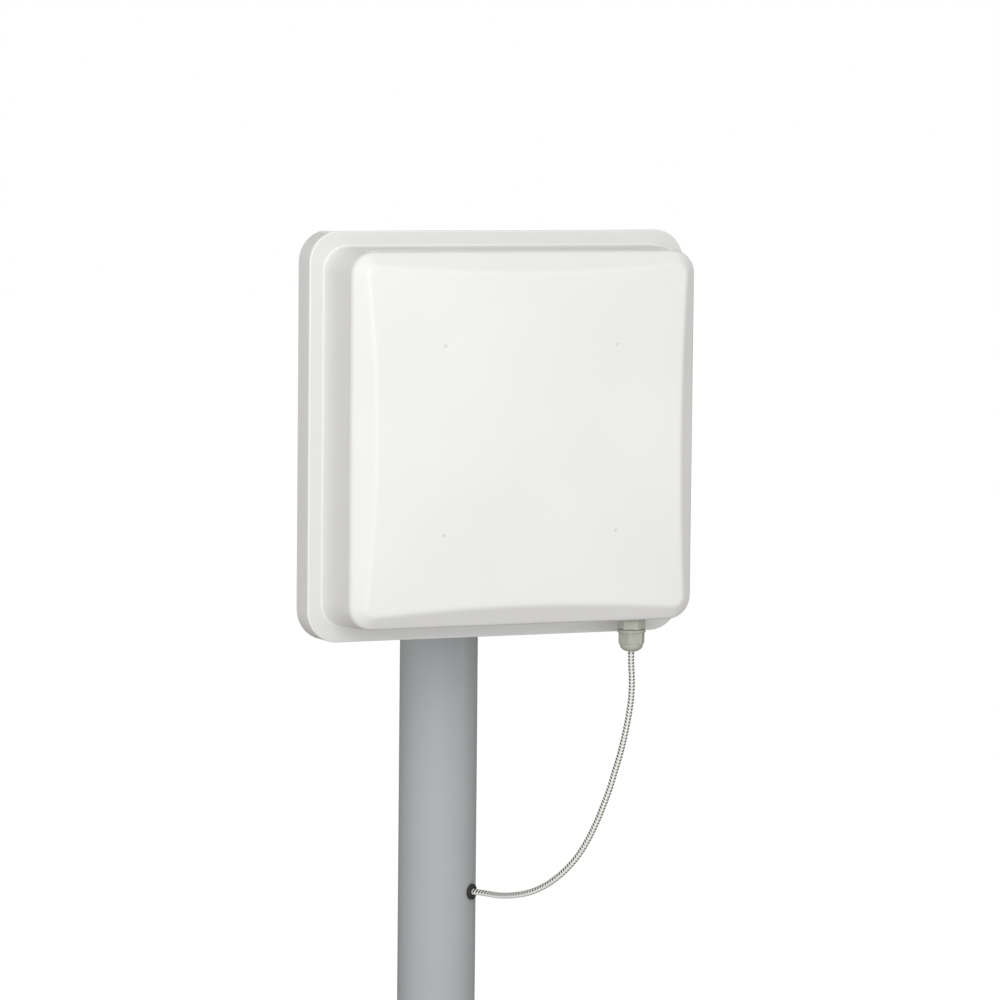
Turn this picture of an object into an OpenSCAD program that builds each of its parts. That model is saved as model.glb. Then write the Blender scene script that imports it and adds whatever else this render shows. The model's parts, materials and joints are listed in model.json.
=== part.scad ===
// Long-range tag reader of a gate: a square antenna head with a moulded cover,
// held by a tilting bracket on a round steel post that turns in a floor base.
// The origin is on the post's axis at the floor. +X is right, +Y is to the back,
// +Z is up, and the head faces -Y. All sizes are in millimetres.

/* [Head] */
// Width and height of the rim
rim_size = 450; // [380:10:600]
// Depth of the rim from its front face to the back of the head
rim_depth = 32.5; // [28:0.5:45]
// Corner radius of the rim
rim_r = 35; // [25:1:45]
// Width and height of the raised cover where it meets the rim
cover_base = 416; // [340:2:560]
// Width and height of the raised cover at its front edge
cover_front = 409; // [334:1:555]
// Depth of the raised cover's walls
cover_depth = 71; // [50:1:90]
// Height of the crowned front above the walls
dome_rise = 24; // [18:0.5:30]
// Radius of the crowned front
dome_r = 2750; // [2000:50:4000]
// Angle of the sloping border of the front
bevel_angle = 38; // [30:1:50]
// Corner radius of the raised cover
cover_r = 26; // [15:1:35]
// Wall of the cover
wall = 3; // [2:0.5:4]
// Thickness of the back plate
plate_t = 3; // [2:0.5:6]
// Thickness of the seal behind the rim
seal_t = 2; // [1:0.5:4]

/* [Antenna] */
// Distance between the centres of two neighbouring patches
patch_pitch = 205; // [180:1:230]
// Side of one patch
patch_size = 150; // [120:1:165]
// Thickness of a patch
patch_t = 1.5; // [1:0.5:3]
// Height of the patches over the ground plane
patch_gap = 12.5; // [8:0.5:14]
// Side of the ground plane
ground_size = 380; // [330:2:390]
// Thickness of the ground plane
ground_t = 2; // [1:0.5:3]
// Distance from the back plate to the ground plane
ground_stand = 79.5; // [70:0.5:85]

/* [Electronics] */
// Width of the reader's circuit board
board_w = 170; // [130:1:200]
// Height of the reader's circuit board
board_h = 120; // [100:1:160]
// Thickness of every circuit board
board_t = 1.6; // [1:0.1:2.4]
// Distance from the back plate to the reader's board
board_stand = 10; // [8:0.5:16]

/* [Post] */
// Outer diameter of the post
post_d = 88.9; // [76.1:0.1:101.6]
// Wall of the post
post_wall = 3.2; // [2:0.1:5]
// Height of the post's top above the head's centre
post_over = 105; // [60:1:130]
// Height of the head's centre above the floor
head_z = 1100; // [1000:10:1600]
// Distance from the post's axis to the front face of the rim
head_reach = 160; // [155:1:200]

/* [Bracket] */
// Distance from the post's axis to the tilt pivot
pivot_reach = 84; // [82:1:90]
// Radius of the locking bolt's arc around the pivot
lock_r = 42; // [38:1:46]
// Furthest the head leans back
tilt_up = 15; // [5:1:18]
// Furthest the head leans forward
tilt_down = 15; // [5:1:15]
// Thickness of the head's bracket
head_bracket_t = 4; // [3:0.5:6]
// Thickness of the post's bracket and of the clamp jaw
clamp_t = 5; // [4:0.5:6]
// Width of the clamp
clamp_w = 144; // [136:2:180]
// Height of the clamp
clamp_h = 110; // [90:2:140]
// Distance between the left and right clamp bolts
clamp_bolt_x = 120; // [112:2:150]
// Distance between the upper and lower clamp bolts
clamp_bolt_z = 70; // [50:2:90]
// Distance between the bolts that hold the bracket to the head
head_bolt_pitch = 100; // [90:5:110]

/* [Base] */
// Side of the base plate
base_size = 300; // [260:10:400]
// Thickness of the base plate
base_t = 12; // [8:1:20]
// Distance between two anchor holes
anchor_pitch = 240; // [200:10:340]
// Diameter of the anchor holes
anchor_hole_d = 14; // [11:1:18]
// Wall of the collar that holds the post
collar_wall = 8; // [6:0.5:14]
// Height of the collar
collar_h = 100; // [80:5:160]

/* [Cable] */
// Diameter of the cable
cable_d = 7; // [6:0.5:8]
// Gland's place to the right of the head's centre
gland_x = 150; // [100:5:160]
// Gland's place in front of the rim
gland_y = 34; // [28:1:40]
// Width across the flats of the gland
gland_af = 27; // [24:1:30]

/* [Hidden] */
$fn = 48;

// The cable outside the head: distance from the gland's axis towards the post's axis, and height.
cable_route = [[0, 868], [0, 845], [-1, 828], [-1, 810], [1, 792], [4, 775], [8, 757], [13, 738],
    [19, 719], [25, 700], [32, 682], [40, 663], [50, 643], [61, 625], [74, 609], [89, 595],
    [106, 583], [125, 574], [145, 569], [165, 567], [185, 568], [210, 568], [226, 565], [240, 557],
    [250, 544], [256, 528], [259, 510], [261, 490], [262, 470], [262, 447]];
// The cable inside the head, from the gland's seal to the board's terminal.
lead_route = [[150, -194, 868], [150, -194, 884], [150, -194, 905], [148, -191, 925],
    [140, -184, 945], [126, -175, 962], [109, -166, 975], [92, -158, 985], [80, -152, 994],
    [73, -149, 1004], [71, -148, 1012], [71, -148, 1020]];

slip = 0.05;        // radial clearance of a running fit
gap = 0.3;          // clearance between pieces of two bodies
hole_gap = 0.25;    // radial clearance of a screw in its hole
fit_gap = 0.5;      // clearance around a plate that drops into a housing

rim_y = -head_reach;
back_y = rim_y + rim_depth;
front_y = rim_y - cover_depth;
apex_y = front_y - dome_rise;
post_top = head_z + post_over;
plate_y = back_y - plate_t;
seal_y = plate_y - seal_t;
bevel_w = dome_rise / tan(90 - bevel_angle);
screw_ring = (rim_size / 2 - wall + cover_base / 2) / 2 - 1.5;
screw_steps = [-0.4, -0.133, 0.133, 0.4];
boss_r = 4.5;
m3 = 1.5;
m4 = 2;
m5 = 2.5;
m8 = 4;
m10 = 5;

ground_y = plate_y - ground_stand;
patch_y = ground_y - ground_t - patch_gap;
patch_at = patch_pitch / 2;
feed_offset = 35;
peg_r = 3;
stand_at = ground_size / 2 - 25;
stand_r = 4.6;

board_y = plate_y - board_stand;
board_z = head_z - 40;
board_hole_x = board_w / 2 - 6;
board_hole_z = board_h / 2 - 6;
terminal_x = 70;
terminal_z = head_z - 79.9;

gland_py = rim_y - gland_y;
gland_seat = head_z - cover_base / 2 + (cover_base - cover_front) / 2 * gland_y / cover_depth - 0.7;
gland_pad = wall + 1.8;
gland_thread_r = 9.95;
gland_washer_t = 1.5;
gland_hex_h = 10;
gland_nut_h = 25;
gland_collar_h = 3.5;
gland_collar_r = gland_af / 2 + 2.4;
gland_bottom = gland_seat - gland_washer_t - gland_hex_h - gap;
nut_floor = gland_bottom - gland_nut_h;

pivot_y = -pivot_reach;
bracket_in = 31;
bracket_out = bracket_in + head_bracket_t;
washer_t = 0.8;
ear_in = bracket_out + washer_t + 0.2;
ear_out = ear_in + clamp_t;
bracket_y = back_y + head_bracket_t;
bracket_size = 130;
pivot_boss = 18;
lock_boss = 9;
web_y = -post_d / 2 - 12.5;
v_half = 60;
v_apex = (post_d / 2 + 0.02) / sin(v_half);
v_reach = 22;

post_r = post_d / 2;
post_in = post_r - post_wall;
thrust_t = 2;
post_foot = base_t + thrust_t + 0.1;
collar_in = post_r + slip;
collar_out = collar_in + collar_wall;
cable_hole_r = 35;
set_screw_z = base_t + collar_h * 0.7;
cap_t = 3;
cap_rise = 8;

service_z = 430;
service_w = 50;
service_h = 100;
service_lap = 14;
service_screw_z = service_h / 2 + 8;
cover_t = 2.5;
cable_dir = [-0.6117, 0.7911];
grommet_z = 568;
grommet_r = 9;
grommet_hole_r = 6.5;
nut_t8 = 6.5;
head_t8 = 5.3;
washer_t8 = 1.6;

cable_points = [for (p = cable_route) [gland_x + cable_dir[0] * p[0],
    gland_py + cable_dir[1] * p[0], p[1]]];

// ---- helpers ----

module rounded(w, h, r) {
    square([w - 2 * r, h], center = true);
    square([w, h - 2 * r], center = true);
    for (x = [-1, 1], y = [-1, 1])
        translate([x * (w / 2 - r), y * (h / 2 - r)]) circle(r);
}

// A shape drawn in X and Z about the head's centre, from y0 back to y1
module slab(y0, y1) {
    translate([0, y1, head_z]) rotate([90, 0, 0]) linear_extrude(y1 - y0) children();
}

// Children placed with their +Z along -Y, at x and z about the head's centre
module facing(x, y, z) {
    translate([x, y, head_z + z]) rotate([90, 0, 0]) children();
}

module hex(af, h) {
    cylinder(r = af / 2 / cos(30), h = h, $fn = 6);
}

module ring(r_out, r_in, h) {
    difference() {
        cylinder(r = r_out, h = h);
        translate([0, 0, -1]) cylinder(r = r_in, h = h + 2);
    }
}

module four(p) {
    for (x = [-1, 1], z = [-1, 1]) translate([x * p / 2, z * p / 2]) children();
}

function unit(v) = v / norm(v);
function ring_dir(p, i) = unit(p[min(i + 1, len(p) - 1)] - p[max(i - 1, 0)]);

// A tube with flat ends that follows points; side is square to the whole route
module tube(p, r, side, n = 8) {
    last = len(p) - 1;
    points = [for (i = [0 : last]) let (d = ring_dir(p, i), u = unit(cross(side, d)),
        v = cross(d, u)) for (k = [0 : n - 1])
        p[i] + r * cos(360 * k / n) * u + r * sin(360 * k / n) * v];
    walls = [for (i = [0 : last - 1], k = [0 : n - 1])
        [i * n + k, (i + 1) * n + k, (i + 1) * n + (k + 1) % n, i * n + (k + 1) % n]];
    ends = [[for (k = [0 : n - 1]) k], [for (k = [n - 1 : -1 : 0]) last * n + k]];
    polyhedron(points, concat(walls, ends));
}

// ---- the head's housing ----

module cover_form(inset) {
    base_w = cover_base - 2 * inset;
    front_w = cover_front - 2 * inset;
    top_w = front_w - 2 * bevel_w;
    r = cover_r - inset;
    y0 = front_y + inset;
    intersection() {
        union() {
            hull() {
                slab(rim_y + 0.1, rim_y + wall + 0.2) rounded(base_w, base_w, r + 2, $fn = 32);
                slab(y0, y0 + 0.1) rounded(front_w, front_w, r, $fn = 32);
            }
            hull() {
                slab(y0, y0 + 0.1) rounded(front_w, front_w, r, $fn = 32);
                slab(y0 - dome_rise, y0 - dome_rise + 0.1) rounded(top_w, top_w, 6, $fn = 32);
            }
        }
        facing(0, y0 - dome_rise + cap_depth, 0) dome_cap();
    }
}

cap_depth = dome_rise + cover_depth + wall + 5;
cap_edge = cover_base * 0.75;
function dome_drop(r) = dome_r - sqrt(dome_r * dome_r - r * r);

module dome_cap() {
    rotate_extrude($fn = 96) polygon(concat(
        [[0, 0], [cap_edge, 0]],
        [for (i = [10 : -1 : 0]) [cap_edge * i / 10, cap_depth - dome_drop(cap_edge * i / 10)]]));
}

module screw_places() {
    for (s = [-1, 1], k = screw_steps) {
        translate([s * screw_ring, k * rim_size]) children();
        translate([k * rim_size, s * screw_ring]) children();
    }
}

module frame_2d(outer, inner, r_out, r_in) {
    difference() {
        rounded(outer, outer, r_out);
        rounded(inner, inner, r_in);
    }
}

module radome_cover() {
    color("white") difference() {
        union() {
            difference() {
                union() {
                    slab(rim_y, back_y) rounded(rim_size, rim_size, rim_r);
                    cover_form(0);
                }
                slab(rim_y + wall, back_y + 1)
                    rounded(rim_size - 2 * wall, rim_size - 2 * wall, rim_r - wall);
                cover_form(wall);
            }
            slab(rim_y + wall - 0.1, seal_y)
                frame_2d(cover_base + 4, cover_base - 2, cover_r + 4, cover_r + 1);
            slab(rim_y + wall - 0.1, seal_y) screw_places() circle(boss_r);
            slab(apex_y + wall / 2, patch_y - patch_t - 4) four(patch_pitch) circle(peg_r);
            translate([gland_x, gland_py, gland_seat]) cylinder(r = gland_collar_r + 2, h = gland_pad);
        }
        slab(seal_y - 12, seal_y + 1) screw_places() circle(m4);
        translate([gland_x, gland_py, gland_seat - 5])
            cylinder(r = gland_thread_r + hole_gap, h = gland_pad + 10);
    }
}

module seal_gasket() {
    outer = rim_size - 2 * wall - 2 * fit_gap;
    inner = cover_base - 2;
    color("dimgray") slab(seal_y, plate_y) difference() {
        frame_2d(outer, inner, rim_r - wall - fit_gap, cover_r + 1);
        screw_places() circle(m4 + hole_gap);
    }
}

module back_plate() {
    size = rim_size - 2 * wall - 2 * fit_gap;
    color("silver") slab(plate_y, back_y) difference() {
        rounded(size, size, rim_r - wall - fit_gap);
        screw_places() circle(m4 + hole_gap);
        four(head_bolt_pitch) circle(m8 + hole_gap);
        translate([-vent_at, -vent_at]) circle(vent_r + slip);
    }
}

vent_at = 150;
vent_r = 5.9;

module cover_screws() {
    color("gainsboro") {
        slab(back_y, back_y + 2.6) screw_places() circle(m4 * 2);
        slab(seal_y - 9, back_y) screw_places() circle(m4 - slip);
    }
}

module vent_plug() {
    color("gray") {
        facing(-vent_at, back_y + 6, -vent_at) hex(16, 6);
        facing(-vent_at, back_y, -vent_at) cylinder(r = vent_r, h = plate_t + 4);
    }
}

// ---- the antenna ----

module stand_places() {
    for (x = [-1, 0, 1], z = [-1, 0, 1])
        if (x != 0 || z != 0) translate([x * stand_at, z * stand_at]) children();
}

module ground_plane() {
    color("silver") slab(ground_y - ground_t, ground_y) difference() {
        rounded(ground_size, ground_size, 12);
        stand_places() circle(m4 + hole_gap);
        four(patch_pitch) circle(m5 + slip);
        four(patch_pitch) translate([0, feed_offset]) circle(3);
        circle(m4);
    }
}

module ground_standoffs() {
    color("goldenrod") slab(ground_y, plate_y) stand_places() difference() {
        circle(r = stand_r, $fn = 6);
        circle(m4);
    }
}

module ground_screws() {
    color("gainsboro") {
        slab(ground_y - ground_t - 2.6, ground_y - ground_t) stand_places() circle(m4 * 1.8);
        slab(ground_y - ground_t, ground_y + 8) stand_places() circle(m4 - slip);
    }
}

// A square patch with two opposite corners cut for circular polarisation
module patch(x, z) {
    h = patch_size / 2;
    cut = patch_size * 0.12;
    color("silver") facing(x * patch_at, patch_y, z * patch_at) linear_extrude(patch_t) difference() {
        polygon([[-h, -h], [h - cut, -h], [h, -h + cut], [h, h], [-h + cut, h], [-h, h - cut]]);
        circle(m5 + slip);
        translate([0, feed_offset]) circle(1 + slip);
    }
}

module patch_posts() {
    color("ivory") for (x = [-1, 1], z = [-1, 1]) {
        facing(x * patch_at, ground_y - ground_t, z * patch_at) cylinder(r = 6, h = patch_gap);
        facing(x * patch_at, ground_y + board_t + 2, z * patch_at)
            cylinder(r = m5, h = board_t + 2 + ground_t + patch_gap + patch_t + 2);
        facing(x * patch_at, patch_y - patch_t, z * patch_at) cylinder(r = 5, h = 2);
    }
}

module feed_board() {
    color("darkgreen") slab(ground_y, ground_y + board_t) difference() {
        union() {
            for (s = [-1, 1]) translate([s * patch_at, 0]) square([24, patch_pitch + 90], center = true);
            square([patch_pitch, 24], center = true);
        }
        four(patch_pitch) circle(m5 + slip);
        four(patch_pitch) translate([0, feed_offset]) circle(1 + slip);
    }
}

module feed_pins() {
    color("gold") slab(patch_y - patch_t - 0.5, ground_y + board_t + 1)
        four(patch_pitch) translate([0, feed_offset]) circle(1);
}

module rf_link() {
    long = board_y - board_t - (ground_y + board_t);
    color("gold") {
        facing(0, board_y - board_t, 0) hex(8, 9);
        facing(0, board_y - board_t, 0) cylinder(r = 1.8, h = long);
        facing(0, ground_y + board_t + 9, 0) hex(8, 9);
    }
}

// ---- the reader's electronics ----

module board_holes() {
    for (x = [-1, 1], z = [-1, 1])
        translate([x * board_hole_x, board_z - head_z + z * board_hole_z]) children();
}

module reader_board() {
    color("green") slab(board_y - board_t, board_y) difference() {
        translate([0, board_z - head_z]) rounded(board_w, board_h, 3);
        board_holes() circle(m3 + hole_gap);
    }
}

module board_standoffs() {
    color("goldenrod") slab(board_y, plate_y) board_holes() difference() {
        circle(r = 3.2, $fn = 6);
        circle(m3);
    }
}

module board_screws() {
    color("gainsboro") {
        slab(board_y - board_t - 2, board_y - board_t) board_holes() circle(m3 * 1.8);
        slab(board_y - board_t, board_y + 6) board_holes() circle(m3 - slip);
    }
}

module shield_can() {
    top = board_y - board_t - 6;
    color("lightgray") difference() {
        translate([-68, top, board_z - 30]) cube([56, 6, 60]);
        translate([-67.5, top + 0.5, board_z - 29.5]) cube([55, 6, 59]);
    }
}

module board_parts() {
    face = board_y - board_t;
    color("black") {
        translate([16, face - 2, board_z - 12]) cube([20, 2, 20]);
        translate([46, face - 1.5, board_z + 18]) cube([10, 1.5, 12]);
        translate([-64, face - 2, board_z + 38]) cube([14, 2, 10]);
    }
    color("navy") for (k = [0 : 2])
        facing(26 + 14 * k, face, board_z - head_z - 46) cylinder(r = 5, h = 12);
}

module board_terminal() {
    color("green") translate([terminal_x - 13, board_y - board_t - 12, terminal_z])
        cube([26, 12, 10]);
}

module inner_lead() {
    color("whitesmoke") tube(lead_route, cable_d / 2, unit([0.4, 0.9, 0]));
}

// ---- the cable gland ----

module on_gland(z) {
    translate([gland_x, gland_py, z]) children();
}

module gland_washer() {
    color("dimgray") on_gland(gland_seat - gland_washer_t)
        ring(gland_collar_r - 1, gland_thread_r + slip, gland_washer_t);
}

module gland_body() {
    color("lightgray") difference() {
        union() {
            on_gland(gland_seat - gland_washer_t - gland_hex_h) hex(gland_af, gland_hex_h);
            on_gland(gland_seat - gland_washer_t) cylinder(r = gland_thread_r, h = gland_pad + 8);
            on_gland(nut_floor + 10) cylinder(r = 9, h = gland_nut_h - 10 + gap);
        }
        on_gland(nut_floor) cylinder(r = 6.5, h = 100);
    }
}

module gland_seal() {
    color("dimgray") on_gland(nut_floor + 9) ring(6.4, cable_d / 2 + slip, 13);
}

module gland_nut() {
    dome_h = 8.5;
    color("lightgray") difference() {
        union() {
            on_gland(gland_bottom - gland_collar_h - 0.2) cylinder(r = gland_collar_r, h = gland_collar_h + 0.2);
            on_gland(nut_floor + dome_h) rotate([0, 0, 30])
                hex(gland_af, gland_nut_h - gland_collar_h - dome_h);
            on_gland(nut_floor) cylinder(r1 = gland_af / 2 - 4.5, r2 = gland_af / 2 - 0.3, h = dome_h);
        }
        on_gland(nut_floor + 8) cylinder(r = 9 + slip, h = 40);
        on_gland(nut_floor - 1) cylinder(r = cable_d / 2 + 0.7, h = 20);
    }
}

module gland_locknut() {
    color("lightgray") on_gland(gland_seat + gland_pad) difference() {
        hex(gland_af, 5);
        translate([0, 0, -1]) cylinder(r = gland_thread_r + slip, h = 7);
    }
}

// ---- the tilting bracket ----

module clinch_nuts() {
    color("silver") slab(plate_y - 6, plate_y) four(head_bolt_pitch) difference() {
        circle(m8 + 3);
        circle(m8);
    }
}

module head_bolts() {
    color("silver") {
        slab(bracket_y, bracket_y + head_t8) four(head_bolt_pitch) circle(r = 7.5, $fn = 6);
        slab(plate_y - 6, bracket_y) four(head_bolt_pitch) circle(m8 - slip);
    }
}

// A shape drawn in Y and Z about the tilt pivot, on both sides from x0 out to x1
module ears(x0, x1) {
    for (s = [0, 1]) mirror([s, 0, 0]) translate([x0, pivot_y, head_z])
        rotate([90, 0, 90]) linear_extrude(x1 - x0) children();
}

module head_bracket() {
    face = bracket_y - pivot_y;
    color("gray") {
        slab(back_y, bracket_y) difference() {
            rounded(bracket_size, bracket_size, 10);
            four(head_bolt_pitch) circle(m8 + hole_gap);
        }
        ears(bracket_in, bracket_out) difference() {
            union() {
                translate([face - 0.1, -lock_r - lock_boss]) square([-face + 0.1, lock_r + lock_boss + pivot_boss]);
                circle(pivot_boss);
                translate([0, -lock_r]) circle(lock_boss);
                translate([-1, -lock_r]) square([lock_boss + 1, lock_r]);
            }
            circle(m10 + slip);
            translate([0, -lock_r]) circle(m8 + slip);
        }
    }
}

// A wedge seen from the side, from straight down towards the front and the back
module wedge(front, back, r) {
    polygon([[0, 0], [-r * sin(front), -r * cos(front)], [0, -r * 1.2],
        [r * sin(back), -r * cos(back)]]);
}

module post_bracket() {
    slot = m8 + 0.4;
    reach = web_y - pivot_y;
    outer = lock_r + slot + 6;
    color("gray") {
        ears(ear_in, ear_out) difference() {
            union() {
                translate([0, -outer]) square([reach, outer + 24]);
                circle(24);
                intersection() {
                    circle(outer);
                    wedge(tilt_up + 11, 1, 80);
                }
            }
            circle(m10 + hole_gap);
            intersection() {
                difference() {
                    circle(lock_r + slot);
                    circle(lock_r - slot);
                }
                wedge(tilt_up, tilt_down, 80);
            }
            for (a = [-tilt_up, tilt_down])
                translate([lock_r * sin(a), -lock_r * cos(a)]) circle(slot);
        }
        clamp_plate();
        clamp_vees();
    }
}

module clamp_plate() {
    slab(web_y, web_y + clamp_t) difference() {
        rounded(clamp_w, clamp_h, 8);
        clamp_places() circle(m8 + hole_gap);
    }
}

module clamp_vees() {
    run = -web_y - clamp_t - v_reach;
    half = (clamp_bolt_x - 2 * m8) / 2 - 8;
    for (z = [-clamp_h / 2, clamp_h / 2 - clamp_t])
        translate([0, 0, head_z + z]) linear_extrude(clamp_t) difference() {
            translate([-half, web_y + clamp_t - 0.1]) square([2 * half, run + 0.1]);
            polygon([[0, -v_apex], [post_d, -v_apex + post_d / tan(v_half)], [post_d, post_d],
                [-post_d, post_d], [-post_d, -v_apex + post_d / tan(v_half)]]);
        }
}

module clamp_places() {
    for (x = [-1, 1], z = [-1, 1]) translate([x * clamp_bolt_x / 2, z * clamp_bolt_z / 2]) children();
}

module clamp_jaw() {
    color("gray") mirror([0, 1, 0]) {
        clamp_plate();
        clamp_vees();
    }
}

module clamp_bolts() {
    color("silver") {
        slab(-web_y, -web_y + head_t8) clamp_places() circle(r = 7.5, $fn = 6);
        slab(web_y - washer_t8 - nut_t8 - 4, -web_y) clamp_places() circle(m8);
    }
}

module clamp_nuts() {
    color("silver") {
        slab(web_y - washer_t8, web_y) clamp_places() difference() {
            circle(8);
            circle(m8 + slip);
        }
        slab(web_y - washer_t8 - nut_t8, web_y - washer_t8) clamp_places() difference() {
            circle(r = 7.5, $fn = 6);
            circle(m8 + slip);
        }
    }
}

// Children placed on an axis along X at a drop below the pivot, starting at x
module across(x, drop) {
    translate([x, pivot_y, head_z - drop]) rotate([0, 90, 0]) children();
}

module pivot_bolt() {
    color("silver") {
        across(ear_out, 0) cylinder(r = 10.5, h = 2);
        across(ear_out + 2, 0) hex(17, 6.4);
        across(-ear_out - 14, 0) cylinder(r = m10, h = 2 * ear_out + 14);
    }
}

module pivot_nut() {
    color("silver") difference() {
        union() {
            across(-ear_out - 2, 0) cylinder(r = 10.5, h = 2);
            across(-ear_out - 10.4, 0) hex(17, 8.4);
        }
        across(-ear_out - 20, 0) cylinder(r = m10 + slip, h = 30);
    }
}

module tilt_washers() {
    color("ivory") for (x = [bracket_out, -bracket_out - washer_t])
        across(x, 0) ring(11, m10 + slip, washer_t);
}

module lock_bolt() {
    color("silver") {
        across(ear_out + gap, lock_r) cylinder(r = 8, h = washer_t8);
        across(ear_out + gap + washer_t8, lock_r) hex(13, head_t8);
        across(-ear_out - gap - 11, lock_r) cylinder(r = m8, h = 2 * ear_out + 2 * gap + 11);
    }
}

module lock_nut() {
    color("silver") difference() {
        union() {
            across(-ear_out - gap - washer_t8, lock_r) cylinder(r = 8, h = washer_t8);
            across(-ear_out - gap - washer_t8 - nut_t8, lock_r) hex(13, nut_t8 + 0.1);
        }
        across(-ear_out - 20, lock_r) cylinder(r = m8 + slip, h = 30);
    }
}

// ---- the post ----

// Children placed with their +Z from the post's axis towards the cable's way in
module towards_gland(r) {
    translate([0, 0, grommet_z]) rotate([0, 90, atan2(-cable_dir[1], -cable_dir[0])])
        translate([0, 0, r]) children();
}

module service_shape(extra) {
    rounded(service_w + extra, service_h + extra, service_w / 2 + extra / 2 - 0.01);
}

module service_screw_places() {
    for (s = [-1, 1]) translate([0, 0, service_z + s * service_screw_z]) rotate([-90, 0, 0]) children();
}

module post_tube() {
    color("slategray") difference() {
        translate([0, 0, post_foot]) ring(post_r, post_in, post_top - post_foot);
        translate([0, post_r + 5, service_z]) rotate([90, 0, 0]) linear_extrude(post_r)
            service_shape(0);
        service_screw_places() cylinder(r = m5 + hole_gap, h = post_r + 5);
        towards_gland(20) cylinder(r = grommet_hole_r, h = post_r);
    }
}

module post_cap() {
    dome = (post_r * post_r + cap_rise * cap_rise) / (2 * cap_rise);
    color("darkgray") {
        translate([0, 0, post_top]) cylinder(r = post_r, h = cap_t);
        translate([0, 0, post_top + cap_t]) rotate_extrude($fn = 96) polygon(concat([[0, 0]],
            [for (i = [0 : 12]) let (r = post_r * (1 - i / 12))
                [r, cap_rise - dome + sqrt(dome * dome - r * r)]]));
        translate([0, 0, post_top - 20]) ring(post_in - 0.1, post_in - 3, 20);
    }
}

module post_grommet() {
    color("dimgray") difference() {
        union() {
            difference() {
                towards_gland(post_r - 5) cylinder(r = grommet_r, h = 8);
                translate([0, 0, grommet_z - 20]) cylinder(r = post_r, h = 40);
            }
            towards_gland(post_in - 3) cylinder(r = grommet_hole_r, h = post_wall + 5);
        }
        towards_gland(20) cylinder(r = cable_d / 2 + gap, h = post_r);
    }
}

module service_cover() {
    color("slategray") difference() {
        intersection() {
            translate([0, 0, service_z - service_h]) ring(post_r + cover_t, post_r, 2 * service_h);
            translate([0, post_r + 5, service_z]) rotate([90, 0, 0]) linear_extrude(post_r)
                rounded(service_w + service_lap, service_h + 2 * service_lap + 4, 12);
        }
        service_screw_places() cylinder(r = m5 + hole_gap, h = post_r + 10);
    }
}

module service_screws() {
    color("gainsboro") service_screw_places() {
        translate([0, 0, post_r + cover_t]) cylinder(r = m5 * 1.8, h = 2.8);
        translate([0, 0, post_in - 6]) cylinder(r = m5 - slip, h = 6 + post_wall + cover_t);
    }
}

strip_y = 6;
strip_t = 2;

// A strip inside the post whose two bent ends carry the service cover's screws
module terminal_bracket() {
    color("silver") difference() {
        union() {
            translate([-12, strip_y, service_z - service_screw_z - 8])
                cube([24, strip_t, 2 * service_screw_z + 16]);
            for (s = [-1, 1]) intersection() {
                translate([-5, strip_y, service_z + s * service_screw_z - 8])
                    cube([10, post_in, 16]);
                translate([0, 0, service_z - 2 * service_h]) cylinder(r = post_in, h = 4 * service_h);
            }
        }
        service_screw_places() cylinder(r = m5, h = post_r);
        for (x = [-8, 8]) translate([x, 0, service_z - 10]) rotate([-90, 0, 0])
            cylinder(r = m3 + slip, h = 20);
    }
}

block_z = 447;

module terminal_block() {
    color("whitesmoke") difference() {
        translate([-22, strip_y + strip_t, block_z - 42]) cube([44, 20, 42]);
        for (x = [-8, 8]) translate([x, 0, service_z - 10]) rotate([-90, 0, 0])
            cylinder(r = m3 + slip, h = 60);
    }
}

module terminal_screws() {
    color("gainsboro") for (x = [-8, 8]) translate([x, strip_y, service_z - 10]) rotate([-90, 0, 0]) {
        cylinder(r = m3, h = strip_t + 20);
        translate([0, 0, strip_t + 20]) cylinder(r = m3 * 1.8, h = 2);
    }
}

module reader_cable() {
    color("whitesmoke") tube(cable_points, cable_d / 2, [cable_dir[1], -cable_dir[0], 0], 10);
}

// ---- the floor base ----

module thrust_ring() {
    color("ivory") translate([0, 0, base_t]) ring(post_r, cable_hole_r + 1, thrust_t);
}

module base_plate() {
    color("gray") difference() {
        linear_extrude(base_t) difference() {
            rounded(base_size, base_size, 20);
            four(anchor_pitch) circle(anchor_hole_d / 2);
            circle(cable_hole_r);
        }
        translate([-stud_at, 0, -1]) cylinder(r = m8 + slip, h = base_t + 2);
    }
}

module base_collar() {
    color("gray") difference() {
        translate([0, 0, base_t]) ring(collar_out, collar_in, collar_h);
        for (a = [90, 210, 330]) translate([0, 0, set_screw_z]) rotate([0, 90, a])
            translate([0, 0, 20]) cylinder(r = m8 + slip, h = collar_out);
    }
}

module base_gussets() {
    reach = base_size / 2 - 12;
    foot = 10;
    high = collar_h * 0.6;
    color("gray") difference() {
        for (a = [0 : 3]) rotate([0, 0, 45 + 90 * a]) translate([0, 4, base_t]) rotate([90, 0, 0])
            linear_extrude(8) polygon([[collar_in, 0], [reach, 0], [reach, foot],
                [collar_out + foot, high], [collar_in, high]]);
        cylinder(r = collar_out, h = base_t + collar_h);
    }
}

module set_screws() {
    color("silver") for (a = [90, 210, 330]) translate([0, 0, set_screw_z]) rotate([0, 90, a])
        translate([0, 0, collar_in]) difference() {
            cylinder(r = m8, h = collar_wall + 4);
            translate([0, 0, collar_wall]) cylinder(r = 2.3, h = 8, $fn = 6);
        }
}

stud_at = 110;

module earth_stud() {
    color("goldenrod") translate([-stud_at, 0, 2]) cylinder(r = m8, h = base_t + 22);
}

module earth_nut() {
    color("goldenrod") translate([-stud_at, 0, base_t]) difference() {
        union() {
            cylinder(r = 8, h = washer_t8);
            translate([0, 0, washer_t8]) hex(13, nut_t8);
        }
        translate([0, 0, -1]) cylinder(r = m8 + slip, h = 20);
    }
}

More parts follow.
